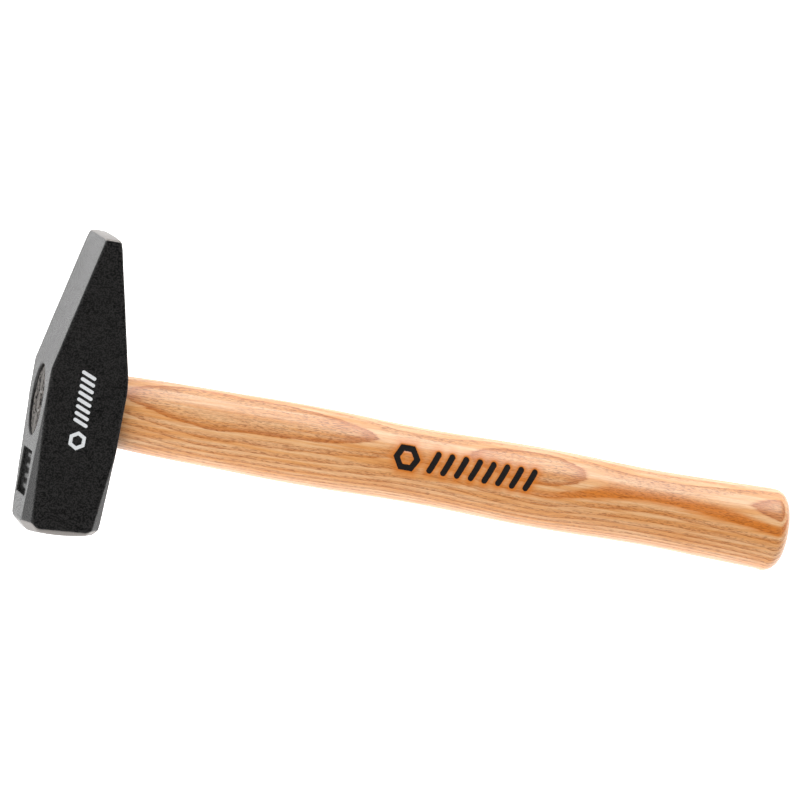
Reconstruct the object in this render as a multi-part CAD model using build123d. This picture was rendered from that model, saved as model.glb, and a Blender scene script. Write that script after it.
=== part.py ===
from build123d import *
import math
import os

# Cross peen engineer's hammer, German pattern, 1 kg: forged steel head, ash handle, wooden wedge, steel ring wedge.
#
# Frame: the hammer lies on its lower cheek. +X runs along the handle from the head to the grip end, +Y runs along
# the head from the striking face to the peen, and +Z is up, square to the cheeks. The origin is on the plane of the
# lower cheek, straight below the centre of the eye. All sizes are in millimetres.

# ---------------------------------------------------------------- driving dimensions: head
head_length = 137.5  # striking face to peen
eye_to_face = 58.7  # centre of the eye to the striking face
cheek_spread = 36.0  # between the two cheeks (Z)
body_width = 36.4  # between the outboard and inboard sides (X), at the knees
face_width = 35.4  # the same, at the striking face
edge_rounding = 0.9  # on the long edges of the forging

knee_outboard_y = 16.4  # where the outboard side turns in towards the peen
knee_inboard_y = 14.0
knee_outboard_radius = 4.0
knee_inboard_radius = 60.0
# (x, y below the tip) of the arc that rounds the peen: outboard corner, crest and inboard corner
peen_arc = ((-4.1, 1.1), (-0.5, 0.0), (3.3, 1.7))
peen_inboard_rounding = 1.8
peen_crown_radius = 120.0  # the edge of the peen is slightly bowed from cheek to cheek

face_crown_radius = 90.0  # the striking face is slightly domed
face_lean = 3.3  # the face is ground a little askew: its inboard side is the shorter one, degrees
# how far the 45 degree bevel of the striking face climbs: on the cheeks, then (on the side, on its two corners)
bevel_on_cheek = 3.9
outboard_bevel = (5.6, 6.2)
inboard_bevel = (4.1, 4.1)
# legs of the corner chamfers at the striking face (on the cheek, on the side), and the length they run out in
outboard_chamfer = (3.5, 8.5, 66.0)
inboard_chamfer = (5.2, 6.0, 46.0)

# ---------------------------------------------------------------- driving dimensions: eye
eye_waist = (29.6, 18.8)  # (Y, Z) size at the narrowest place, in the middle of the head
eye_mouth = (32.6, 21.4)  # (Y, Z) size at both mouths
eye_mouth_rounding = 0.5  # on the outboard mouth, where the end of the handle shows
eye_overrun = 1.0  # the tool that cuts the eye runs out this far past each side

# ---------------------------------------------------------------- driving dimensions: stamped panel
panel_length = 20.4  # along the head
panel_width = 17.0  # across the head
panel_centre_y = -32.8
panel_depth = 2.6
panel_draft = 5.0  # slope of the panel's walls, degrees
panel_bars = 4  # plain raised bars on the floor of the panel
panel_bar_pitch = 4.6
panel_bar_size = (2.4, 10.0)  # (along the head, across the head)
panel_bar_height = 1.0

# ---------------------------------------------------------------- driving dimensions: handle
handle_end_x = 342.0
handle_hang = 1.4  # the grip drops towards the striking face by this much, degrees
handle_crown_radius = 75.0  # the grip end is slightly domed
handle_end_rounding = 7.5
eye_fit = 0.05  # clearance between the tenon and the eye, inboard half
tenon_recess = 1.0  # the end of the tenon lies this far below the mouth of the eye
tenon_end_gap = 0.75  # gap all round the end of the tenon
tenon_end_shift = (-0.45, 0.2)  # (Y, Z) the end of the tenon sits slightly off centre
# (x, height in Y, thickness in Z) of the oval sections of the grip, from the neck to the end
grip_sections = (
    (28.0, 33.6, 22.0),
    (62.0, 35.3, 23.3),
    (104.0, 36.7, 24.6),
    (130.0, 36.1, 24.8),
    (158.0, 34.9, 25.0),
    (186.0, 35.7, 25.7),
    (216.0, 37.0, 26.4),
    (246.0, 36.4, 26.4),
    (275.0, 35.4, 26.2),
    (302.0, 36.5, 26.7),
    (328.0, 38.0, 27.2),
    (handle_end_x, 38.8, 27.4),
)

# ---------------------------------------------------------------- driving dimensions: wedges
wedge_thickness = 3.6  # wooden wedge at its outer end
wedge_tip_thickness = 1.2  # also the width of the saw kerf
wedge_depth = 21.0
kerf_depth = 26.0
ring_outer_radius = 5.2
ring_inner_radius = 3.7
ring_depth = 11.0
ring_taper = 0.7  # the outer radius shrinks by this much down to the cutting edge
ring_sink = 0.4  # the ring is driven this far below the end of the tenon
ring_centre_y = -0.8
ring_barbs = 3
ring_barb_taper = 0.37  # each barb narrows by this much over its length
ring_bore_flare = 0.23  # the bore opens by this much towards the cutting edge

# ---------------------------------------------------------------- values that follow from them
mid_z = cheek_spread / 2
half_body = body_width / 2
half_face = face_width / 2
face_y = -eye_to_face
peen_y = head_length - eye_to_face
tenon_end_x = -half_body + tenon_recess
MIN_Z = (Align.CENTER, Align.CENTER, Align.MIN)


def oval(x, height, thickness, shift=(0.0, 0.0)):
    """Oval section square to the handle's axis, height along Y and thickness along Z."""
    plane = Plane(origin=(x, shift[0], mid_z + shift[1]), x_dir=(0, 1, 0), z_dir=(1, 0, 0))
    return plane * Ellipse(height / 2, thickness / 2)


def eye_size(x):
    """(Y, Z) size of the hourglass eye at a distance x from the middle of the head."""
    share = abs(x) / half_body
    return tuple(waist + (mouth - waist) * share for waist, mouth in zip(eye_waist, eye_mouth))


def hang_drop(x):
    """How far the axis of the grip has dropped in Y at a distance x along the handle."""
    return (half_body - x) * math.tan(math.radians(handle_hang))


# ---------------------------------------------------------------- head
def head_blank():
    """The forging: in plan a near-straight block that tapers from its knees to the rounded and bowed peen."""
    outboard_tip, crest, inboard_tip = ((x, peen_y - below) for x, below in peen_arc)
    sides = Polyline(
        outboard_tip,
        (-half_body, knee_outboard_y),
        (-half_face, face_y),
        (half_face, face_y),
        (half_body, knee_inboard_y),
        inboard_tip,
    )
    plan = make_face(sides + ThreePointArc(inboard_tip, crest, outboard_tip))
    for corner, radius in (
        ((half_body, knee_inboard_y), knee_inboard_radius),
        ((-half_body, knee_outboard_y), knee_outboard_radius),
        (inboard_tip, peen_inboard_rounding),
    ):
        plan = fillet(plan.vertices().sort_by_distance(corner)[0], radius)
    bow = Pos(0, peen_y - peen_crown_radius, mid_z) * Rot(0, 90, 0) * Cylinder(peen_crown_radius, 2 * body_width)
    blank = extrude(plan, cheek_spread) & bow
    lower_rim = blank.edges().filter_by_position(Axis.Z, 0, 0)
    upper_rim = blank.edges().filter_by_position(Axis.Z, cheek_spread, cheek_spread)
    return fillet(lower_rim + upper_rim, edge_rounding)


def corner_cutter(side_x, side_z, chamfer_sizes):
    """Block whose lower face is one corner chamfer of the striking end."""
    cheek_leg, side_leg, length = chamfer_sizes
    corner = Vector(side_x * half_face, face_y, mid_z + side_z * mid_z)
    on_cheek = corner - Vector(side_x * cheek_leg, 0, 0)
    on_side = corner - Vector(0, 0, side_z * side_leg)
    widening = (half_body - half_face) * length / (eye_to_face + knee_inboard_y)
    run_out = corner + Vector(side_x * widening, length, 0)
    normal = (on_cheek - run_out).cross(on_side - run_out)
    if normal.dot(corner - on_cheek) < 0:
        normal = -normal
    return Plane(origin=run_out, z_dir=normal) * Box(4 * head_length, 4 * head_length, head_length, align=MIN_Z)


def corner_support(chamfer_sizes):
    """Direction of a corner chamfer from the X axis, in degrees, and its distance from the middle of the face."""
    cheek_leg, side_leg, _ = chamfer_sizes
    slant = math.hypot(cheek_leg, side_leg)
    distance = (half_face * side_leg + mid_z * cheek_leg - cheek_leg * side_leg) / slant
    return math.degrees(math.atan2(cheek_leg, side_leg)), distance


def bevel_outline(spread):
    """Eight-sided outline whose sides are parallel to those of the striking end."""
    inboard_angle, inboard_distance = corner_support(inboard_chamfer)
    outboard_angle, outboard_distance = corner_support(outboard_chamfer)
    sides = [
        (0, half_face - inboard_bevel[0]),
        (inboard_angle, inboard_distance - inboard_bevel[1]),
        (90, mid_z - bevel_on_cheek),
        (180 - outboard_angle, outboard_distance - outboard_bevel[1]),
        (180, half_face - outboard_bevel[0]),
        (180 + outboard_angle, outboard_distance - outboard_bevel[1]),
        (270, mid_z - bevel_on_cheek),
        (360 - inboard_angle, inboard_distance - inboard_bevel[1]),
    ]
    corners = []
    for (angle, reach), (next_angle, next_reach) in zip(sides, sides[1:] + sides[:1]):
        here, ahead = math.radians(angle), math.radians(next_angle)
        turn = math.sin(ahead - here)
        x = ((reach + spread) * math.sin(ahead) - (next_reach + spread) * math.sin(here)) / turn
        y = ((next_reach + spread) * math.cos(here) - (reach + spread) * math.cos(ahead)) / turn
        corners.append((x, y))
    return Polygon(*corners, align=None)


def face_limits():
    """Space inside the bevels and the slight dome of the striking face, which leans a little."""
    lean = math.radians(face_lean)
    across, inward = (math.cos(lean), math.sin(lean), 0), (-math.sin(lean), math.cos(lean), 0)
    ground = Plane(origin=(0, face_y, mid_z), x_dir=across, z_dir=inward)
    reach = head_length + body_width
    bevels = loft([ground * bevel_outline(0), ground * Pos(0, 0, reach) * bevel_outline(reach)], ruled=True)
    dome = ground * Pos(0, 0, face_crown_radius) * Sphere(face_crown_radius)
    return bevels & dome


def eye_hole():
    """Hourglass eye, run out past both sides of the head."""
    end = half_body + eye_overrun
    return loft([oval(x, *eye_size(x)) for x in (-end, 0.0, end)], ruled=True)


def stamped_panel():
    """Recess with sloping walls in the outboard side, with plain raised bars left standing on its floor."""
    side_slope = (half_body - half_face) / (eye_to_face + knee_outboard_y)
    side_x = half_face + side_slope * (panel_centre_y - face_y)
    side = Plane(origin=(-side_x, panel_centre_y, mid_z), x_dir=(-side_slope, 1, 0), z_dir=(1, side_slope, 0))
    recess = extrude(side * Rectangle(panel_length, panel_width), panel_depth, taper=panel_draft)
    for index in range(panel_bars):
        along = (index - (panel_bars - 1) / 2) * panel_bar_pitch
        bar = Pos(along, 0, panel_depth - panel_bar_height) * Box(*panel_bar_size, panel_depth, align=MIN_Z)
        recess -= side * bar
    return recess


def make_head():
    head = head_blank()
    for side_z in (-1, 1):
        head -= corner_cutter(-1, side_z, outboard_chamfer)
        head -= corner_cutter(1, side_z, inboard_chamfer)
    head &= face_limits()
    head -= eye_hole()
    outboard_mouth = head.edges().filter_by(GeomType.BSPLINE).sort_by(SortBy.LENGTH)[-1]
    head = fillet(outboard_mouth, eye_mouth_rounding)
    head -= stamped_panel()
    return head


# ---------------------------------------------------------------- wedges
def wedge_blank():
    """Wooden wedge as it is driven, still as wide as the head: it thins from the tenon's end to its tip."""
    outline = Polygon(
        (tenon_end_x, -wedge_thickness / 2),
        (tenon_end_x + wedge_depth, -wedge_tip_thickness / 2),
        (tenon_end_x + wedge_depth, wedge_tip_thickness / 2),
        (tenon_end_x, wedge_thickness / 2),
        align=None,
    )
    profile = Plane(origin=(0, 0, mid_z), x_dir=(1, 0, 0), z_dir=(0, -1, 0)) * outline
    return extrude(profile, eye_to_face / 2, both=True)


def kerf():
    """Saw cut along the long axis of the oval, a little deeper than the wedge."""
    start = Pos(tenon_end_x, 0, mid_z)
    return start * Box(kerf_depth, eye_to_face, wedge_tip_thickness, align=(Align.MIN, Align.CENTER, Align.CENTER))


def ring_plane(x):
    """Plane square to the handle's axis and centred on the ring wedge."""
    return Plane(origin=(x, ring_centre_y, mid_z), x_dir=(0, 1, 0), z_dir=(1, 0, 0))


def make_ring_wedge():
    """Tapered steel ring with barbs round its outside and a bore that opens towards the cutting edge."""
    top_x = tenon_end_x + ring_sink
    barb_length = ring_depth / ring_barbs
    ring = Part()
    for index in range(ring_barbs):
        wide = ring_outer_radius - ring_taper * index / ring_barbs
        narrow = wide - ring_barb_taper
        ring += ring_plane(top_x + index * barb_length) * Cone(wide, narrow, barb_length, align=MIN_Z)
    bore_end = ring_inner_radius + ring_bore_flare
    return ring - ring_plane(top_x) * Cone(ring_inner_radius, bore_end, ring_depth, align=MIN_Z)


def ring_access():
    """Annular space above the sunk ring."""
    space = Cylinder(ring_outer_radius, ring_sink, align=MIN_Z) - Cylinder(ring_inner_radius, ring_sink, align=MIN_Z)
    return ring_plane(tenon_end_x) * space


# ---------------------------------------------------------------- handle
def make_tenon():
    """Part of the handle inside the eye: it fills the inboard half and stands clear round its outer end."""
    shoulder = oval(half_body, *(size - 2 * eye_fit for size in eye_size(half_body)))
    waist = oval(0.0, *(size - 2 * eye_fit for size in eye_size(0.0)))
    end_size = (size - 2 * tenon_end_gap for size in eye_size(tenon_end_x))
    end = oval(tenon_end_x, *end_size, shift=tenon_end_shift)
    return loft([end, waist, shoulder], ruled=True)


def make_grip():
    """Gently swelling oval grip on its slightly dropped axis, domed and rounded at its end."""
    shoulder = oval(half_body, *(size - 2 * eye_fit for size in eye_size(half_body)))
    ovals = [oval(x, height, thickness, (hang_drop(x), 0)) for x, height, thickness in grip_sections]
    grip = loft([shoulder] + ovals)
    dome_x = handle_end_x - handle_crown_radius
    dome = Pos(dome_x, hang_drop(handle_end_x), mid_z) * Sphere(handle_crown_radius)
    before_dome = Pos(0, 0, mid_z) * Box(2 * dome_x, head_length, head_length)
    grip &= dome + before_dome
    end_rim = grip.edges().sort_by(Axis.X)[-1]
    return fillet(end_rim, handle_end_rounding)


head = make_head()
ring_wedge = make_ring_wedge()
tenon = make_tenon()
wooden_wedge = (tenon & wedge_blank()) - ring_wedge - ring_access()
handle = tenon + make_grip() - wedge_blank() - kerf() - ring_wedge - ring_access()

nodes = {
    "head": head,
    "handle": handle,
    "wooden_wedge": wooden_wedge,
    "ring_wedge": ring_wedge,
}

os.makedirs("parts", exist_ok=True)
for name, shape in nodes.items():
    export_step(shape, f"parts/{name}.step")
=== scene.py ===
import math

import bmesh
import bpy
import numpy as np
from mathutils import Matrix, Vector, noise


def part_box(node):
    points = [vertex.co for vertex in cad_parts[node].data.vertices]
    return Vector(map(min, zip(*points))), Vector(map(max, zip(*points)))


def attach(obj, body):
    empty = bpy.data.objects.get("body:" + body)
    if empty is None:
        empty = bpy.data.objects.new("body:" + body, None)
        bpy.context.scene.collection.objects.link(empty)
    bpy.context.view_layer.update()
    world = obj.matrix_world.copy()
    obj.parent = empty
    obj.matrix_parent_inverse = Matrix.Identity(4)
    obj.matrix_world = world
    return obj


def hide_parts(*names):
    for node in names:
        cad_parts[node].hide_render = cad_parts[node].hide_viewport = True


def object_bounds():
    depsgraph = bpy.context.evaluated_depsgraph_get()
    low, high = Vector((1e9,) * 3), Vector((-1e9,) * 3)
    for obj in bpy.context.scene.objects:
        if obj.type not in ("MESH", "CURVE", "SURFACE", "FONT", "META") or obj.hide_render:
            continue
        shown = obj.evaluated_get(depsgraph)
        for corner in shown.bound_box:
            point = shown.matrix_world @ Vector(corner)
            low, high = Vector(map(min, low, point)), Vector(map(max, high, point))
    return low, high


# Looks of the cross peen hammer: painted forged head with ground face and peen, lacquered ash handle
# with a burnt mark, wooden wedge and steel ring wedge. Sizes are in millimetres here and are turned
# into metres when a mesh is made.

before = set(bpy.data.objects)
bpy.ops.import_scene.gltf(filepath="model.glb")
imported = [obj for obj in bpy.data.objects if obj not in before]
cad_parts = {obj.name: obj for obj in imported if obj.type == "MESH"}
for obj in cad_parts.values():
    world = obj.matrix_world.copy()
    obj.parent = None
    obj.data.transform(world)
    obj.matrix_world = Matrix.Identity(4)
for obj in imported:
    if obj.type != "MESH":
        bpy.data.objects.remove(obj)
cad_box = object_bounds()

MM = 0.001  # metres in a millimetre


def node_box(name):
    """Lowest and highest corner of a CAD node, in millimetres."""
    low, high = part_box(name)
    return np.array(low) / MM, np.array(high) / MM


head_low, head_high = node_box("head")
handle_low, handle_high = node_box("handle")
wedge_low, wedge_high = node_box("wooden_wedge")
ring_low, ring_high = node_box("ring_wedge")

# ---------------------------------------------------------------- places that the frame gives
half_body = head_high[0]
mid_z = head_high[2] / 2
face_y = head_low[1]
peen_y = head_high[1]
tenon_end_x = handle_low[0]
grip_end_x = handle_high[0]

# ---------------------------------------------------------------- handle shape
handle_hang = 1.4  # the grip drops towards the striking face by this much, degrees
crown_radius = 75.0  # dome of the grip end
end_rounding = 7.5
end_blend = 1.6 * end_rounding  # the grip starts to turn into its end at this distance from it
shoulder_size = (32.5, 21.3)  # (Y, Z) size of the handle where it leaves the eye
waist_size = (29.5, 18.7)  # in the middle of the eye
tenon_end_size = (31.0, 19.8)
tenon_end_shift = (-0.45, 0.2)
# (x, height in Y, thickness in Z) of the oval sections of the grip
grip_sections = (
    (28.0, 33.6, 22.0),
    (62.0, 35.3, 23.3),
    (104.0, 36.7, 24.6),
    (130.0, 36.1, 24.8),
    (158.0, 34.9, 25.0),
    (186.0, 35.7, 25.7),
    (216.0, 37.0, 26.4),
    (246.0, 36.4, 26.4),
    (275.0, 35.4, 26.2),
    (302.0, 36.5, 26.7),
    (328.0, 38.0, 27.2),
    (grip_end_x, 38.8, 27.4),
)
points_around = 200
end_grain_rings = 20  # rings of points over the flat end of the tenon
blend_rings = 6  # where the grip turns into its end
rounding_rings = 14  # over the rounded edge of the end
dome_rings = 18  # over the dome of the end
coarse_step = 1.25  # between rings of points along the handle
fine_step = 0.45  # the same, under the burnt mark
tenon_step = 2.2  # between rings of points along the tenon
tenon_rim = 0.35  # broken edge of the end grain
cutter_overrun = 1.0  # the cutters start this far outside the end of the tenon
slot_overrun = 4.0  # the slot's cutter reaches this far past the wooden wedge in Y
groove_steps = 64  # points round the ring wedge's groove
kerf_width = 1.2
kerf_depth = 26.0
ring_radii = (3.7, 5.2)  # inner and outer radius of the ring wedge
ring_slack = 0.12  # room left round the ring wedge in the wood

# ---------------------------------------------------------------- marks
# Both marks are the same plain pattern: a hexagon outline and a row of slanted strokes.
stroke_count = 8
stroke_slant = 18.0  # degrees from square to the row
burn_start_x = 146.5
burn_length = 69.0
burn_height = 10.6
burn_stroke = 2.8
burn_centre_y = 4.0  # from the axis of the handle
burn_depth = 0.38
burn_wall = (0.15, 0.45)  # the sunk wall begins this far outside a line, and is this wide
wood_unevenness = (0.06, 22.0)  # depth and size of the hand-shaped unevenness of the grip
coarse_tears = (0.16, 1.1)  # the same, of the sawn fibres of the end grain
fine_tears = (0.1, 0.4)
scorch_reach = 5.0
print_start_y = -18.0
print_length = 36.0
print_height = 7.0
print_stroke = 1.6
print_centre_x = -0.8
print_rise = 0.09  # the printed ink stands this far above the cheek
cap_points = 8  # points round each end of a printed stroke

# ---------------------------------------------------------------- head finish
voxel = 0.48
face_grind_length = 7.0  # the face and its bevels lie within this distance of the striking end
peen_grind_length = 4.0
worn_rounds = 14  # rounds of smoothing that wear the corners of the peen and the face
peen_wear_length = 5.0  # the wear begins this far from the tip of the peen, and grows towards it
face_wear_length = 9.0  # the same, from the striking end
fade_length = 3.0  # the wear and the forging's unevenness reach their full size within this length
forged_from_face = 4.0  # the unevenness of the forging begins this far from the striking end
forged_from_peen = 4.0  # and ends this far from the tip of the peen
peen_fade_length = 2.0  # the length that it fades out in there
broad_dents = (0.07, 9.0)  # depth and size of the unevenness
fine_dents = (0.025, 1.8)

# ---------------------------------------------------------------- wood
pith = (-16.6, -42.9)  # (Y, Z) of the centre of the growth rings, from the axis of the handle
ring_spacing = 1.42
last_ring_radius = 58.25  # the ring that outlines the long loops; the growth outside it is wider
wide_growth = 0.55  # rings outside it are this share as dense
# (x, millimetres) how far the growth rings wander towards the surface along the handle
grain_wander = (
    (-20.0, 0.2),
    (14.0, 0.4),
    (31.0, 0.55),
    (55.0, 1.0),
    (76.0, 0.45),
    (102.0, -0.2),
    (126.0, -0.9),
    (137.0, -1.25),
    (150.0, -1.75),
    (165.0, -1.8),
    (192.0, -1.2),
    (214.0, -0.9),
    (231.0, -1.5),
    (244.0, -2.2),
    (262.0, -2.6),
    (300.0, -2.6),
    (326.0, -2.2),
    (345.0, -1.5),
)

# ---------------------------------------------------------------- camera and light
camera_azimuth = 159.21  # from +X towards +Y, of the line from the hammer to the camera
camera_elevation = 72.457
camera_roll = 10.776
camera_distance = 2989.0
camera_aim = (148.25, 24.92, 18.0)
camera_lens = 296.5
sensor_width = 36.0

floor_size = 12.0  # metres
# direction from the hammer to the light, distance and size in metres, power in watts
key_light = ((0.28, 0.9, 0.55), 2.2, 1.4, 31.0)
fill_light = ((-0.5, -0.6, 0.62), 2.2, 1.6, 38.0)


def srgb(red, green, blue):
    """Linear colour of an 8-bit sRGB colour, with alpha."""
    linear = []
    for value in (red, green, blue):
        share = value / 255
        linear.append(share / 12.92 if share <= 0.04045 else ((share + 0.055) / 1.055) ** 2.4)
    return (*linear, 1.0)


def hang_drop(x):
    """How far the axis of the grip has dropped in Y at a distance x along the handle."""
    return (half_body - x) * math.tan(math.radians(handle_hang))


# ---------------------------------------------------------------- node trees
class Graph:
    """Short names for building one node tree."""

    def __init__(self, tree):
        self.tree = tree
        tree.nodes.clear()

    def node(self, kind, **settings):
        made = self.tree.nodes.new(kind)
        for name, value in settings.items():
            setattr(made, name, value)
        return made

    def feed(self, socket, value):
        if isinstance(value, bpy.types.NodeSocket):
            self.tree.links.new(value, socket)
        else:
            socket.default_value = value

    def math(self, operation, *values):
        made = self.node("ShaderNodeMath", operation=operation)
        for socket, value in zip(made.inputs, values):
            self.feed(socket, value)
        return made.outputs[0]

    def vector(self, operation, *values):
        made = self.node("ShaderNodeVectorMath", operation=operation)
        for socket, value in zip(made.inputs, values):
            self.feed(socket, value)
        return made.outputs["Value" if operation in ("DOT_PRODUCT", "LENGTH") else "Vector"]

    def millimetres(self):
        """Place in the frame, in millimetres."""
        place = self.node("ShaderNodeTexCoord").outputs["Object"]
        return self.vector("MULTIPLY", place, (1 / MM,) * 3)

    def split(self, vector):
        made = self.node("ShaderNodeSeparateXYZ")
        self.feed(made.inputs[0], vector)
        return made.outputs

    def join(self, x, y, z):
        made = self.node("ShaderNodeCombineXYZ")
        for socket, value in zip(made.inputs, (x, y, z)):
            self.feed(socket, value)
        return made.outputs[0]

    def noise(self, vector, stretch, detail=2.0, roughness=0.5):
        """Noise from 0 to 1; stretch is the number of features per millimetre along each axis."""
        made = self.node("ShaderNodeTexNoise")
        self.feed(made.inputs["Vector"], self.vector("MULTIPLY", vector, stretch))
        made.inputs["Scale"].default_value = 1.0
        made.inputs["Detail"].default_value = detail
        made.inputs["Roughness"].default_value = roughness
        return made.outputs["Fac"]

    def swing(self, value, size):
        """A noise value from 0 to 1 as plus or minus size / 2."""
        return self.math("MULTIPLY_ADD", value, size, -size / 2)

    def between(self, value, low, high):
        """Smooth change from 0 to 1 as value goes from low to high."""
        made = self.node("ShaderNodeMapRange", interpolation_type="SMOOTHSTEP")
        for socket, number in zip(made.inputs, (value, low, high)):
            self.feed(socket, number)
        return made.outputs[0]

    def ramp(self, value, stops):
        """Grey value from (place, value) stops."""
        made = self.node("ShaderNodeValToRGB")
        elements = made.color_ramp.elements
        for _ in range(len(stops) - 2):
            elements.new(0.5)
        for element, (place, grey) in zip(elements, stops):
            element.position = place
        for element, (place, grey) in zip(elements, stops):
            element.color = (grey, grey, grey, 1.0)
        self.feed(made.inputs[0], value)
        return made.outputs[0]

    def curve(self, value, points):
        """Smooth curve through (place, height) points, outside 0 to 1 as well."""
        places = [place for place, height in points]
        heights = [height for place, height in points]
        low, span = min(heights), max(heights) - min(heights)
        share = self.between_linear(value, places[0], places[-1])
        made = self.node("ShaderNodeFloatCurve")
        line = made.mapping.curves[0]
        for _ in range(len(points) - 2):
            line.points.new(0.5, 0.5)
        for point, (place, height) in zip(line.points, points):
            point.location = ((place - places[0]) / (places[-1] - places[0]), (height - low) / span)
        made.mapping.update()
        self.feed(made.inputs["Value"], share)
        return self.math("MULTIPLY_ADD", made.outputs[0], span, low)

    def between_linear(self, value, low, high):
        """Even change from 0 to 1 as value goes from low to high."""
        made = self.node("ShaderNodeMapRange")
        for socket, number in zip(made.inputs, (value, low, high)):
            self.feed(socket, number)
        return made.outputs[0]

    def mix(self, share, first, second):
        """Colour from first to second as share goes from 0 to 1."""
        made = self.node("ShaderNodeMix", data_type="RGBA")
        self.feed(made.inputs[0], share)
        self.feed(made.inputs[6], first)
        self.feed(made.inputs[7], second)
        return made.outputs[2]

    def bump(self, height, depth, strength=1.0):
        """Bump of a 0 to 1 height that is depth millimetres deep."""
        made = self.node("ShaderNodeBump")
        made.inputs["Strength"].default_value = strength
        made.inputs["Distance"].default_value = depth * MM
        self.feed(made.inputs["Height"], height)
        return made.outputs[0]

    def principled(self, **values):
        """The surface shader and the output; names use _ for a space."""
        shader = self.node("ShaderNodeBsdfPrincipled")
        for name, value in values.items():
            self.feed(shader.inputs[name.replace("_", " ")], value)
        output = self.node("ShaderNodeOutputMaterial")
        self.tree.links.new(shader.outputs[0], output.inputs["Surface"])


def material(name):
    """A new material and the graph of its node tree."""
    made = bpy.data.materials.new(name)
    made.use_nodes = True
    return made, Graph(made.node_tree)


# ---------------------------------------------------------------- materials
def ash_wood():
    """Lacquered ash: growth rings that wander along the handle, pores, grey end grain and the burnt mark."""
    made, g = material("lacquered_ash")
    place = g.millimetres()
    x, y, z = g.split(place)
    drop = g.math("MULTIPLY_ADD", x, -math.tan(math.radians(handle_hang)), hang_drop(0.0))
    from_axis = g.math("SUBTRACT", y, drop)
    from_pith_y = g.math("SUBTRACT", from_axis, pith[0])
    from_pith_z = g.math("SUBTRACT", z, mid_z + pith[1])
    radius = g.vector("LENGTH", g.join(0.0, from_pith_y, from_pith_z))

    slow = g.swing(g.noise(place, (0.012, 0.035, 0.035)), 0.3)
    wavy = g.swing(g.noise(place, (0.035, 0.16, 0.16)), 0.5)
    ragged = g.swing(g.noise(place, (0.12, 1.1, 1.1), detail=3.0), 0.35)
    for warp in (g.curve(x, grain_wander), slow, wavy, ragged):
        radius = g.math("ADD", radius, warp)
    outside = g.math("SUBTRACT", radius, last_ring_radius)
    slower = g.math("MULTIPLY", g.math("MAXIMUM", outside, 0.0), 1 - wide_growth)
    turns = g.math("DIVIDE", g.math("SUBTRACT", outside, slower), ring_spacing)
    phase = g.math("FRACT", turns)
    ring_noise = g.node("ShaderNodeTexWhiteNoise", noise_dimensions="1D")
    g.feed(ring_noise.inputs["W"], g.math("FLOOR", turns))
    ring_strength = g.math("MULTIPLY_ADD", ring_noise.outputs["Value"], 0.42, 0.58)

    line = g.ramp(phase, ((0.0, 1.0), (0.07, 0.8), (0.16, 0.35), (0.34, 0.1), (0.92, 0.0), (1.0, 0.8)))
    band = g.ramp(phase, ((0.0, 0.55), (0.3, 0.4), (0.62, 0.06), (0.9, 0.0), (1.0, 0.4)))
    band = g.math("MULTIPLY", band, g.between(outside, 0.1, -0.1))
    early = g.math("MULTIPLY", g.math("MAXIMUM", line, band), ring_strength)
    honey = g.math("MULTIPLY", g.between(outside, -2.0, -1.3), g.between(outside, -0.4, -0.9))
    honey = g.math("MULTIPLY", honey, g.between(x, 195.0, 245.0))
    honey = g.math("MULTIPLY", honey, g.between(from_axis, 10.0, 6.0))
    porous = g.ramp(phase, ((0.0, 1.0), (0.35, 0.9), (0.6, 0.25), (0.93, 0.1), (1.0, 1.0)))
    fibres = g.noise(place, (0.06, 2.4, 2.4), detail=3.0, roughness=0.65)
    streaks = g.noise(place, (0.018, 0.5, 0.5), detail=2.0)
    dashes = g.between(g.noise(place, (0.4, 3.4, 3.4), detail=1.5), 0.5, 0.6)
    pores = g.math("MULTIPLY", dashes, porous)

    light_wood = srgb(238, 193, 145)
    mid_wood = srgb(229, 164, 100)
    line_wood = srgb(186, 102, 34)
    pore_wood = srgb(136, 66, 16)
    honey_wood = srgb(214, 120, 28)
    scorched_wood = srgb(208, 114, 20)
    colour = g.mix(g.between(streaks, 0.3, 0.7), light_wood, mid_wood)
    colour = g.mix(early, colour, line_wood)
    colour = g.mix(g.math("MULTIPLY", honey, 0.8), colour, honey_wood)
    colour = g.mix(g.math("MULTIPLY", g.between(fibres, 0.42, 0.7), 0.46), colour, line_wood)
    colour = g.mix(g.math("MULTIPLY", pores, 0.6), colour, pore_wood)

    end_grain = g.between(x, tenon_end_x + 1.2, tenon_end_x + 0.5)
    grime = g.noise(place, (0.5, 0.7, 0.7), detail=4.0)
    grey_end = g.mix(g.between(grime, 0.42, 0.58), srgb(92, 87, 83), srgb(12, 11, 11))
    colour = g.mix(end_grain, colour, grey_end)

    mark = g.node("ShaderNodeAttribute", attribute_name="mark").outputs["Fac"]
    edge = g.math("ADD", mark, g.swing(g.noise(place, (1.2, 1.2, 1.2), detail=3.0), 0.35))
    burnt = g.between(edge, scorch_reach - 0.12, scorch_reach + 0.12)
    scorch = g.math("POWER", g.between_linear(edge, 0.0, scorch_reach), 1.9)
    colour = g.mix(g.math("MULTIPLY", scorch, 0.9), colour, scorched_wood)
    charred = g.noise(place, (0.5, 2.5, 2.5), detail=3.0)
    char = g.mix(g.between(charred, 0.4, 0.75), srgb(5, 4, 4), srgb(26, 18, 14))
    colour = g.mix(burnt, colour, char)

    relief = g.math("SUBTRACT", g.math("MULTIPLY", fibres, 0.35), pores)
    dull = g.math("MAXIMUM", burnt, end_grain)
    g.principled(
        Base_Color=colour,
        Roughness=g.math("MULTIPLY_ADD", dull, 0.45, 0.4),
        Specular_IOR_Level=0.3,
        Coat_Weight=g.math("MULTIPLY_ADD", dull, -0.8, 0.8),
        Coat_Roughness=0.28,
        Normal=g.bump(relief, 0.05, 0.4),
    )
    return made


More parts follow.
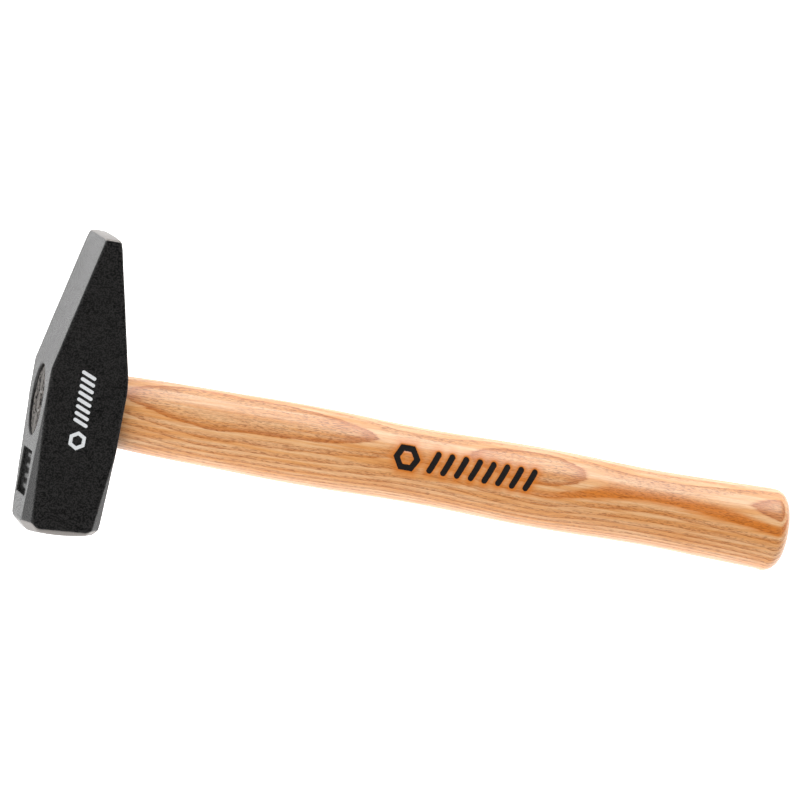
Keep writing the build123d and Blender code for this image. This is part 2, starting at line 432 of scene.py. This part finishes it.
def head_steel():
    """Satin black paint over the forging; the face, its bevels and the tip of the peen are ground bare."""
    made, g = material("painted_forging")
    place = g.millimetres()
    ground = g.node("ShaderNodeAttribute", attribute_name="ground").outputs["Fac"]
    ragged = g.swing(g.noise(place, (0.6, 0.6, 0.6), detail=3.0), 0.2)
    bare = g.between(g.math("ADD", ground, ragged), 0.4, 0.5)

    speckle = g.between(g.noise(place, (1.45, 1.45, 1.45), detail=2.0, roughness=0.6), 0.46, 0.6)
    cloud = g.noise(place, (0.12, 0.12, 0.12), detail=3.0)
    paint = g.mix(speckle, srgb(0, 0, 0), srgb(36, 35, 34))
    paint = g.mix(g.math("MULTIPLY", g.between(cloud, 0.4, 0.7), 0.12), paint, srgb(36, 34, 33))
    wear = g.between(g.node("ShaderNodeNewGeometry").outputs["Pointiness"], 0.56, 0.66)
    nicks = g.between(g.noise(place, (0.6, 0.6, 0.6), detail=4.0), 0.55, 0.68)
    paint = g.mix(g.math("MULTIPLY", wear, g.math("MULTIPLY", nicks, 0.6)), paint, srgb(120, 115, 110))

    scratches = g.noise(place, (3.0, 0.25, 3.0), detail=3.0)
    steel = g.mix(scratches, srgb(84, 81, 79), srgb(138, 133, 129))
    colour = g.mix(bare, paint, steel)
    painted_rough = g.math("MULTIPLY_ADD", speckle, 0.14, 0.28)
    rough = g.mix(bare, painted_rough, (0.4,) * 3 + (1.0,))
    height = g.mix(bare, speckle, g.math("MULTIPLY", scratches, 0.3))
    g.principled(
        Base_Color=colour,
        Metallic=bare,
        Roughness=rough,
        Specular_IOR_Level=0.3,
        Normal=g.bump(height, 0.08, 0.8),
    )
    return made


def wedge_wood():
    """Dusty end grain of the driven wooden wedge."""
    made, g = material("wedge_end_grain")
    place = g.millimetres()
    layers = g.noise(place, (0.3, 0.5, 2.6), detail=3.0)
    colour = g.mix(g.between(layers, 0.35, 0.7), srgb(92, 86, 80), srgb(22, 20, 19))
    g.principled(Base_Color=colour, Roughness=0.7, Normal=g.bump(layers, 0.15, 0.8))
    return made


def wedge_steel():
    """Dull grey steel of the ring wedge, battered where it was driven."""
    made, g = material("ring_wedge_steel")
    place = g.millimetres()
    dents = g.noise(place, (0.9, 0.9, 0.9), detail=4.0)
    colour = g.mix(dents, srgb(58, 56, 54), srgb(128, 124, 120))
    rough = g.mix(dents, (0.3,) * 3 + (1.0,), (0.55,) * 3 + (1.0,))
    g.principled(Base_Color=colour, Metallic=1.0, Roughness=rough, Normal=g.bump(dents, 0.2, 0.8))
    return made


def print_ink():
    """Slightly worn white ink."""
    made, g = material("white_ink")
    place = g.millimetres()
    worn = g.noise(place, (1.6, 1.6, 1.6), detail=4.0, roughness=0.7)
    colour = g.mix(g.between(worn, 0.5, 0.8), srgb(214, 216, 218), srgb(160, 160, 160))
    g.principled(Base_Color=colour, Roughness=0.6, Normal=g.bump(worn, 0.03, 0.6))
    return made


def floor_paper():
    """Seamless white studio paper, a little self-lit so that it stays even."""
    made, g = material("studio_paper")
    place = g.millimetres()
    fibres = g.noise(place, (0.3, 0.3, 0.3), detail=3.0)
    colour = g.mix(fibres, srgb(236, 236, 236), srgb(242, 242, 242))
    g.principled(
        Base_Color=colour,
        Roughness=0.9,
        Specular_IOR_Level=0.0,
        Emission_Color=(1.0, 1.0, 1.0, 1.0),
        Emission_Strength=1.3,
    )
    return made


# ---------------------------------------------------------------- mesh helpers
def new_object(name, mesh, finish, smooth=True):
    """Object of a mesh with one material, smooth shaded."""
    mesh.materials.clear()
    mesh.materials.append(finish)
    for polygon in mesh.polygons:
        polygon.use_smooth = smooth
    made = bpy.data.objects.new(name, mesh)
    bpy.context.scene.collection.objects.link(made)
    return made


def evaluated_mesh(thing):
    """Mesh of an object with its modifiers applied."""
    graph = bpy.context.evaluated_depsgraph_get()
    return bpy.data.meshes.new_from_object(thing.evaluated_get(graph))


def get_points(mesh):
    points = np.empty(len(mesh.vertices) * 3)
    mesh.vertices.foreach_get("co", points)
    return points.reshape(-1, 3)


def set_points(mesh, points):
    mesh.vertices.foreach_set("co", points.ravel())
    mesh.update()


def noise_at(points, size, seed):
    """Noise from -1 to 1 at points in millimetres, with features of the given size."""
    offset = Vector((17.3, 5.1, 9.7)) * seed
    return np.array([noise.noise(Vector(point) / size + offset) for point in points])


# ---------------------------------------------------------------- marks
def mark_layout(length, height, stroke):
    """Centre and outer radius of the hexagon, and the two ends of each slanted stroke."""
    hexagon_radius = 0.62 * height
    row_start = 2 * hexagon_radius + 1.2 * stroke
    lean = height / 2 * math.tan(math.radians(stroke_slant))
    pitch = (length - row_start - 2 * lean - stroke) / (stroke_count - 1)
    reach = (height - stroke) / 2
    strokes = []
    for index in range(stroke_count):
        middle = row_start + stroke / 2 + lean + index * pitch
        strokes.append(((middle - lean, -reach), (middle + lean, reach)))
    return (hexagon_radius, 0.0), hexagon_radius, strokes


def mark_inside(u, v, length, height, stroke):
    """How far points (u, v) are inside the mark's nearest line; negative outside."""
    centre, radius, strokes = mark_layout(length, height, stroke)
    apothem = radius * math.cos(math.pi / 6)
    sides = []
    for corner in range(6):
        angle = math.radians(60 * corner + 30)
        sides.append((u - centre[0]) * math.cos(angle) + (v - centre[1]) * math.sin(angle))
    to_outline = np.max(sides, axis=0) - (apothem - stroke / 2)
    inside = stroke / 2 - np.abs(to_outline)
    for (u0, v0), (u1, v1) in strokes:
        share = ((u - u0) * (u1 - u0) + (v - v0) * (v1 - v0)) / ((u1 - u0) ** 2 + (v1 - v0) ** 2)
        share = np.clip(share, 0, 1)
        gap = np.hypot(u - u0 - share * (u1 - u0), v - v0 - share * (v1 - v0))
        inside = np.maximum(inside, stroke / 2 - gap)
    return inside


def make_cheek_print(ink):
    """The mark in white ink on the upper cheek, running along the head."""
    centre, radius, strokes = mark_layout(print_length, print_height, print_stroke)
    top = head_high[2] + print_rise
    sink = 4 * print_rise
    mesh = bmesh.new()

    def place(u, v, z):
        return Vector((print_centre_x - v, print_start_y + u, z)) * MM

    def prism(outline):
        """Closed flat prism over an outline of (u, v) points."""
        rings = [[mesh.verts.new(place(u, v, z)) for u, v in outline] for z in (top - sink, top)]
        mesh.faces.new(rings[1])
        mesh.faces.new(rings[0][::-1])
        for index in range(len(outline)):
            after = (index + 1) % len(outline)
            mesh.faces.new((rings[0][index], rings[0][after], rings[1][after], rings[1][index]))

    half_stroke = print_stroke / 2
    for (u0, v0), (u1, v1) in strokes:
        lean = math.atan2(v1 - v0, u1 - u0)
        outline = []
        for step in range(2 * cap_points):
            at_far_end = step < cap_points
            end_u, end_v = (u1, v1) if at_far_end else (u0, v0)
            angle = lean - math.pi / 2 + math.pi * (step if at_far_end else step - 1) / (cap_points - 1)
            outline.append((end_u + half_stroke * math.cos(angle), end_v + half_stroke * math.sin(angle)))
        prism(outline)

    hexagon = []
    for size in (radius, radius - print_stroke / math.cos(math.pi / 6)):
        turns = [math.radians(60 * corner) for corner in range(6)]
        corners = [(centre[0] + size * math.cos(turn), centre[1] + size * math.sin(turn)) for turn in turns]
        hexagon.append([[mesh.verts.new(place(u, v, z)) for u, v in corners] for z in (top - sink, top)])
    (outer_low, outer_top), (inner_low, inner_top) = hexagon
    for index in range(6):
        after = (index + 1) % 6
        mesh.faces.new((outer_top[index], outer_top[after], inner_top[after], inner_top[index]))
        mesh.faces.new((outer_low[after], outer_low[index], inner_low[index], inner_low[after]))
        mesh.faces.new((outer_low[index], outer_low[after], outer_top[after], outer_top[index]))
        mesh.faces.new((inner_low[after], inner_low[index], inner_top[index], inner_top[after]))

    bmesh.ops.recalc_face_normals(mesh, faces=mesh.faces)
    made = bpy.data.meshes.new("cheek_print")
    mesh.to_mesh(made)
    mesh.free()
    return new_object("cheek_print", made, ink, smooth=False)


# ---------------------------------------------------------------- head
def smooth_mesh(mesh, factors, share=1.0):
    """Smooth the mesh once for each factor, by share of it at each point.

    A negative factor after a positive one undoes the shrinking.
    """
    points = get_points(mesh)
    edges = np.empty(len(mesh.edges) * 2, np.int32)
    mesh.edges.foreach_get("vertices", edges)
    start, end = edges.reshape(-1, 2).T
    count = np.bincount(edges, minlength=len(points))[:, None]
    for factor in factors:
        total = np.empty_like(points)
        for axis in range(3):
            total[:, axis] = np.bincount(start, points[end, axis], len(points))
            total[:, axis] += np.bincount(end, points[start, axis], len(points))
        points += factor * share * (total / count - points)
    set_points(mesh, points)


def make_head(finish):
    """The forging with its edges softened and the unevenness that forging and scale leave under the paint."""
    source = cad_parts["head"].copy()
    source.data = source.data.copy()
    source.parent = None
    bpy.context.scene.collection.objects.link(source)
    remesh = source.modifiers.new("remesh", "REMESH")
    remesh.mode = "VOXEL"
    remesh.voxel_size = voxel * MM
    mesh = evaluated_mesh(source)
    bpy.data.objects.remove(source)
    smooth_mesh(mesh, (0.5, -0.53) * 3)
    along = get_points(mesh)[:, 1:2] / MM
    near_peen = np.clip((along - peen_y + peen_wear_length) / fade_length, 0, 1)
    near_face = np.clip((face_y + face_wear_length - along) / fade_length, 0, 1)
    smooth_mesh(mesh, (0.5,) * worn_rounds, near_peen + 0.5 * near_face)

    points = get_points(mesh)
    normals = np.empty(len(points) * 3)
    mesh.vertex_normals.foreach_get("vector", normals)
    places = points / MM
    broad = broad_dents[0] * noise_at(places, broad_dents[1], 1)
    fine = fine_dents[0] * noise_at(places, fine_dents[1], 2)
    dents = broad + fine
    forged = np.clip((places[:, 1] - face_y - forged_from_face) / fade_length, 0, 1)
    forged *= np.clip((peen_y - forged_from_peen - places[:, 1]) / peen_fade_length, 0, 1)
    normals = normals.reshape(-1, 3)
    points += (dents * forged * MM)[:, None] * normals
    set_points(mesh, points)
    at_ends = (places[:, 1] < face_y + face_grind_length) | (places[:, 1] > peen_y - peen_grind_length)
    ground = mesh.attributes.new("ground", "FLOAT", "POINT")
    ground.data.foreach_set("value", (np.abs(normals[:, 1]) * at_ends).astype(np.float32))
    mesh.name = "forged_head"
    return new_object("forged_head", mesh, finish)


# ---------------------------------------------------------------- handle
def spline(places, heights, at):
    """Natural cubic spline through the points, at the given places."""
    places, heights = np.array(places), np.array(heights)
    count = len(places)
    gap = np.diff(places)
    slope = np.diff(heights) / gap
    system, right = np.eye(count), np.zeros(count)
    for row in range(1, count - 1):
        system[row, row - 1 : row + 2] = gap[row - 1], 2 * (gap[row - 1] + gap[row]), gap[row]
        right[row] = 6 * (slope[row] - slope[row - 1])
    bend = np.linalg.solve(system, right)
    cell = np.clip(np.searchsorted(places, at) - 1, 0, count - 2)
    ahead, behind, width = places[cell + 1] - at, at - places[cell], gap[cell]
    curve = (bend[cell] * ahead**3 + bend[cell + 1] * behind**3) / (6 * width)
    curve += (heights[cell] / width - bend[cell] * width / 6) * ahead
    return curve + (heights[cell + 1] / width - bend[cell + 1] * width / 6) * behind


def grip_size(x):
    """(Y, Z) size of the grip at x, which may be an array."""
    sections = ((half_body, *shoulder_size),) + grip_sections
    places = [section[0] for section in sections]
    return tuple(spline(places, [section[axis] for section in sections], x) for axis in (1, 2))


def spaced(start, end, step):
    """Evenly spaced values from start up to, and without, end."""
    return np.linspace(start, end, max(2, round((end - start) / step)), endpoint=False)


def oval_ring(x, size, centre):
    """Ring of points of an oval section; centre is its (Y, Z) shift from the middle."""
    turn = np.linspace(0, 2 * math.pi, points_around, endpoint=False)
    y = centre[0] + size[0] / 2 * np.cos(turn)
    z = mid_z + centre[1] + size[1] / 2 * np.sin(turn)
    return np.stack((np.full(points_around, x), y, z), axis=1)


def tenon_rings():
    """Flat end of the tenon from its middle outwards, then the tenon up to the shoulder."""
    rings = []
    scales = np.linspace(0.05, 1.0, end_grain_rings) ** 0.8
    flat = [size - 2 * tenon_rim for size in tenon_end_size]
    for scale in scales:
        rings.append(oval_ring(tenon_end_x, [side * scale for side in flat], tenon_end_shift))
    for x in spaced(tenon_end_x + tenon_rim, half_body, tenon_step):
        if x < 0:
            share, near, shift = x / tenon_end_x, tenon_end_size, tenon_end_shift
        else:
            share, near, shift = x / half_body, shoulder_size, (0.0, 0.0)
        size = [waist + (side - waist) * share for waist, side in zip(waist_size, near)]
        rings.append(oval_ring(x, size, [value * share for value in shift]))
    return rings


def grip_rings():
    """The grip from the shoulder to where its end starts to round over."""
    burn_end_x = burn_start_x + burn_length
    around_mark = 2.5
    places = np.concatenate(
        (
            spaced(half_body, burn_start_x - around_mark, coarse_step),
            spaced(burn_start_x - around_mark, burn_end_x + around_mark, fine_step),
            spaced(burn_end_x + around_mark, grip_end_x - end_blend, coarse_step),
        )
    )
    return [oval_ring(x, grip_size(x), (hang_drop(x), 0.0)) for x in places]


def grip_end_rings():
    """The rounded edge and the domed end of the grip; the last ring is small and is closed by a point."""
    turn = np.linspace(0, 2 * math.pi, points_around, endpoint=False)
    start_x = grip_end_x - end_blend
    dome_x = grip_end_x - crown_radius
    end_size = grip_size(grip_end_x - end_rounding / 2)
    reach = np.hypot(end_size[0] / 2 * np.cos(turn), end_size[1] / 2 * np.sin(turn))
    across, upright = end_size[0] / 2 * np.cos(turn) / reach, end_size[1] / 2 * np.sin(turn) / reach
    corner_x = dome_x + np.sqrt((crown_radius - end_rounding) ** 2 - (reach - end_rounding) ** 2)
    dome_angle = np.arctan2(corner_x - dome_x, reach - end_rounding)

    rings = []
    for share in np.linspace(0, 1, blend_rings):
        x = start_x + (corner_x - start_x) * share
        half_y, half_z = (side / 2 for side in grip_size(x))
        y, z = hang_drop(x) + half_y * np.cos(turn), half_z * np.sin(turn)
        last = share * share
        y = y * (1 - last) + (hang_drop(grip_end_x) + reach * across) * last
        z = z * (1 - last) + reach * upright * last
        rings.append(np.stack((x, y, mid_z + z), axis=1))
    for share in np.linspace(0, 1, rounding_rings)[1:]:
        angle = dome_angle * share
        x = corner_x + end_rounding * np.sin(angle)
        out = reach - end_rounding + end_rounding * np.cos(angle)
        rings.append(np.stack((x, hang_drop(grip_end_x) + out * across, mid_z + out * upright), axis=1))
    edge_out = reach - end_rounding + end_rounding * np.cos(dome_angle)
    for share in np.linspace(1, 0.04, dome_rings)[1:]:
        out = edge_out * share
        x = dome_x + np.sqrt(crown_radius**2 - out**2)
        rings.append(np.stack((x, hang_drop(grip_end_x) + out * across, mid_z + out * upright), axis=1))
    return rings


def ring_mesh(name, rings, first_point, last_point):
    """Closed mesh over rings of points, from a point at one end to a point at the other."""
    count, around = len(rings), points_around
    points = np.concatenate([[first_point], np.concatenate(rings), [last_point]])
    faces = []
    for column in range(around):
        after = (column + 1) % around
        faces.append((0, 1 + after, 1 + column))
        for row in range(count - 1):
            low, high = 1 + row * around, 1 + (row + 1) * around
            faces.append((low + column, low + after, high + after, high + column))
        last = 1 + (count - 1) * around
        faces.append((len(points) - 1, last + column, last + after))
    mesh = bpy.data.meshes.new(name)
    mesh.from_pydata((points * MM).tolist(), [], faces)
    mesh.update()
    return mesh


def cutter_mesh():
    """What the wooden wedge takes out of the tenon: the tapered slot, and the saw kerf beyond it."""
    mesh = bmesh.new()
    half_end, half_tip = (wedge_high[2] - wedge_low[2]) / 2, kerf_width / 2
    reach_y = wedge_high[1] + slot_overrun
    slope = (half_end - half_tip) / (wedge_high[0] - wedge_low[0])
    outline = (
        (tenon_end_x - cutter_overrun, half_end + slope * cutter_overrun),
        (wedge_high[0], half_tip),
        (tenon_end_x + kerf_depth, half_tip),
    )
    profile = list(outline) + [(x, -z) for x, z in outline[::-1]]
    sides = []
    for y in (-reach_y, reach_y):
        sides.append([mesh.verts.new((x * MM, y * MM, (mid_z + z) * MM)) for x, z in profile])
    mesh.faces.new(sides[0])
    mesh.faces.new(sides[1][::-1])
    for index in range(len(profile)):
        after = (index + 1) % len(profile)
        mesh.faces.new((sides[0][index], sides[1][index], sides[1][after], sides[0][after]))
    bmesh.ops.recalc_face_normals(mesh, faces=mesh.faces)
    made = bpy.data.meshes.new("slot_cutter")
    mesh.to_mesh(made)
    mesh.free()
    return made


def groove_mesh():
    """Tube-shaped cutter for the groove that the ring wedge is driven into."""
    mesh = bmesh.new()
    inner, outer = ring_radii[0] - ring_slack, ring_radii[1] + ring_slack
    centre_y = (ring_low[1] + ring_high[1]) / 2
    section = (
        (tenon_end_x - cutter_overrun, inner),
        (tenon_end_x - cutter_overrun, outer),
        (ring_high[0] + ring_slack, outer),
        (ring_high[0] + ring_slack, inner),
    )
    columns = []
    for step in range(groove_steps):
        turn = 2 * math.pi * step / groove_steps
        column = []
        for x, r in section:
            y, z = centre_y + r * math.cos(turn), mid_z + r * math.sin(turn)
            column.append(mesh.verts.new((x * MM, y * MM, z * MM)))
        columns.append(column)
    for step in range(groove_steps):
        here, ahead = columns[step], columns[(step + 1) % groove_steps]
        for index in range(4):
            after = (index + 1) % 4
            mesh.faces.new((here[index], ahead[index], ahead[after], here[after]))
    bmesh.ops.recalc_face_normals(mesh, faces=mesh.faces)
    made = bpy.data.meshes.new("groove_cutter")
    mesh.to_mesh(made)
    mesh.free()
    return made


def cut(mesh, cutters):
    """The mesh with the cutters taken out of it."""
    body = bpy.data.objects.new("cut_body", mesh)
    bpy.context.scene.collection.objects.link(body)
    helpers = []
    for cutter in cutters:
        helper = bpy.data.objects.new("cutter", cutter)
        bpy.context.scene.collection.objects.link(helper)
        helpers.append(helper)
        change = body.modifiers.new("cut", "BOOLEAN")
        change.operation = "DIFFERENCE"
        change.solver = "EXACT"
        change.object = helper
    bpy.context.view_layer.update()
    made = evaluated_mesh(body)
    for helper in [body] + helpers:
        bpy.data.objects.remove(helper)
    return made


def make_handle(finish):
    """Ash handle: tenon, grip, domed end, and the burnt mark sunk into its upper side."""
    rings = tenon_rings() + grip_rings() + grip_end_rings()
    first = (tenon_end_x, tenon_end_shift[0], mid_z + tenon_end_shift[1])
    last = (grip_end_x, hang_drop(grip_end_x), mid_z)
    mesh = ring_mesh("ash_handle", rings, first, last)

    points = get_points(mesh) / MM
    normals = np.empty(len(points) * 3)
    mesh.vertex_normals.foreach_get("vector", normals)
    normals = normals.reshape(-1, 3)
    above = points[:, 2] > mid_z
    u = points[:, 0] - burn_start_x
    v = points[:, 1] - hang_drop(points[:, 0]) - burn_centre_y
    inside = mark_inside(u, v, burn_length, burn_height, burn_stroke)
    inside = np.where(above, inside, -scorch_reach)
    depth = burn_depth * np.clip((inside + burn_wall[0]) / burn_wall[1], 0, 1)
    uneven = wood_unevenness[0] * noise_at(points, wood_unevenness[1], 3)
    at_end = points[:, 0] < tenon_end_x + 0.05
    coarse = coarse_tears[0] * noise_at(points, coarse_tears[1], 4)
    fine = fine_tears[0] * noise_at(points, fine_tears[1], 5)
    torn = np.where(at_end, coarse + fine, 0.0)
    in_eye = points[:, 0] < half_body
    points += normals * (np.where(in_eye, 0.0, uneven) - depth + torn)[:, None]
    set_points(mesh, points * MM)
    mark = mesh.attributes.new("mark", "FLOAT", "POINT")
    mark.data.foreach_set("value", np.maximum(scorch_reach + inside, 0.0).astype(np.float32))

    mesh = cut(mesh, [cutter_mesh(), groove_mesh()])
    mesh.name = "ash_handle"
    return new_object("ash_handle", mesh, finish)


# ---------------------------------------------------------------- stage
def add_floor():
    """Large pale sheet under the hammer."""
    half = floor_size / 2
    mesh = bpy.data.meshes.new("studio_floor")
    level = cad_box[0][2]
    corners = [(-half, -half, level), (half, -half, level), (half, half, level), (-half, half, level)]
    mesh.from_pydata(corners, [], [(0, 1, 2, 3)])
    floor = new_object("studio_floor", mesh, floor_paper(), smooth=False)


def add_world():
    """Even studio surround: bright round the horizon and dark straight above."""
    world = bpy.data.worlds.new("studio")
    bpy.context.scene.world = world
    world.use_nodes = True
    g = Graph(world.node_tree)
    direction = g.node("ShaderNodeTexCoord").outputs["Generated"]
    height = g.split(direction)[2]
    level = g.ramp(height, ((0.0, 1.0), (0.3, 0.9), (0.62, 0.35), (0.8, 0.05), (1.0, 0.03)))
    background = g.node("ShaderNodeBackground")
    g.feed(background.inputs["Color"], level)
    background.inputs["Strength"].default_value = 1.0
    output = g.node("ShaderNodeOutputWorld")
    g.tree.links.new(background.outputs[0], output.inputs["Surface"])


def add_light(name, direction, distance, size, power):
    """Square softbox that faces the middle of the hammer; direction points from the hammer to the light."""
    data = bpy.data.lights.new(name, "AREA")
    data.shape = "SQUARE"
    data.size = size
    data.energy = power
    lamp = bpy.data.objects.new(name, data)
    bpy.context.scene.collection.objects.link(lamp)
    toward = Vector(direction).normalized()
    lamp.location = Vector(camera_aim) * MM + toward * distance
    lamp.rotation_mode = "QUATERNION"
    lamp.rotation_quaternion = toward.to_track_quat("Z", "Y")


def add_camera():
    """Camera at the photograph's viewing angle."""
    data = bpy.data.cameras.new("camera")
    data.lens = camera_lens
    data.sensor_width = sensor_width
    data.clip_end = 100.0
    camera = bpy.data.objects.new("camera", data)
    bpy.context.scene.collection.objects.link(camera)
    bpy.context.scene.camera = camera
    azimuth, elevation = math.radians(camera_azimuth), math.radians(camera_elevation)
    level = math.cos(elevation)
    back = Vector((level * math.cos(azimuth), level * math.sin(azimuth), math.sin(elevation)))
    across = Vector((0, 1, 0)).cross(back).normalized()
    upright = back.cross(across)
    turned = Matrix((across, upright, back)).transposed() @ Matrix.Rotation(math.radians(camera_roll), 3, "Z")
    camera.rotation_mode = "QUATERNION"
    camera.rotation_quaternion = turned.to_quaternion()
    camera.location = (Vector(camera_aim) + back * camera_distance) * MM


# ---------------------------------------------------------------- the hammer
head_piece = make_head(head_steel())
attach(head_piece, "root")
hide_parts("head")

handle_piece = make_handle(ash_wood())
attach(handle_piece, "root")
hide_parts("handle")

cheek_print = make_cheek_print(print_ink())
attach(cheek_print, "root")

for name, finish in (("wooden_wedge", wedge_wood()), ("ring_wedge", wedge_steel())):
    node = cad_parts[name]
    node.data.materials.clear()
    node.data.materials.append(finish)

add_floor()
add_world()
add_light("key_softbox", *key_light)
add_light("fill_softbox", *fill_light)
add_camera()
bpy.context.scene.view_settings.view_transform = "Standard"
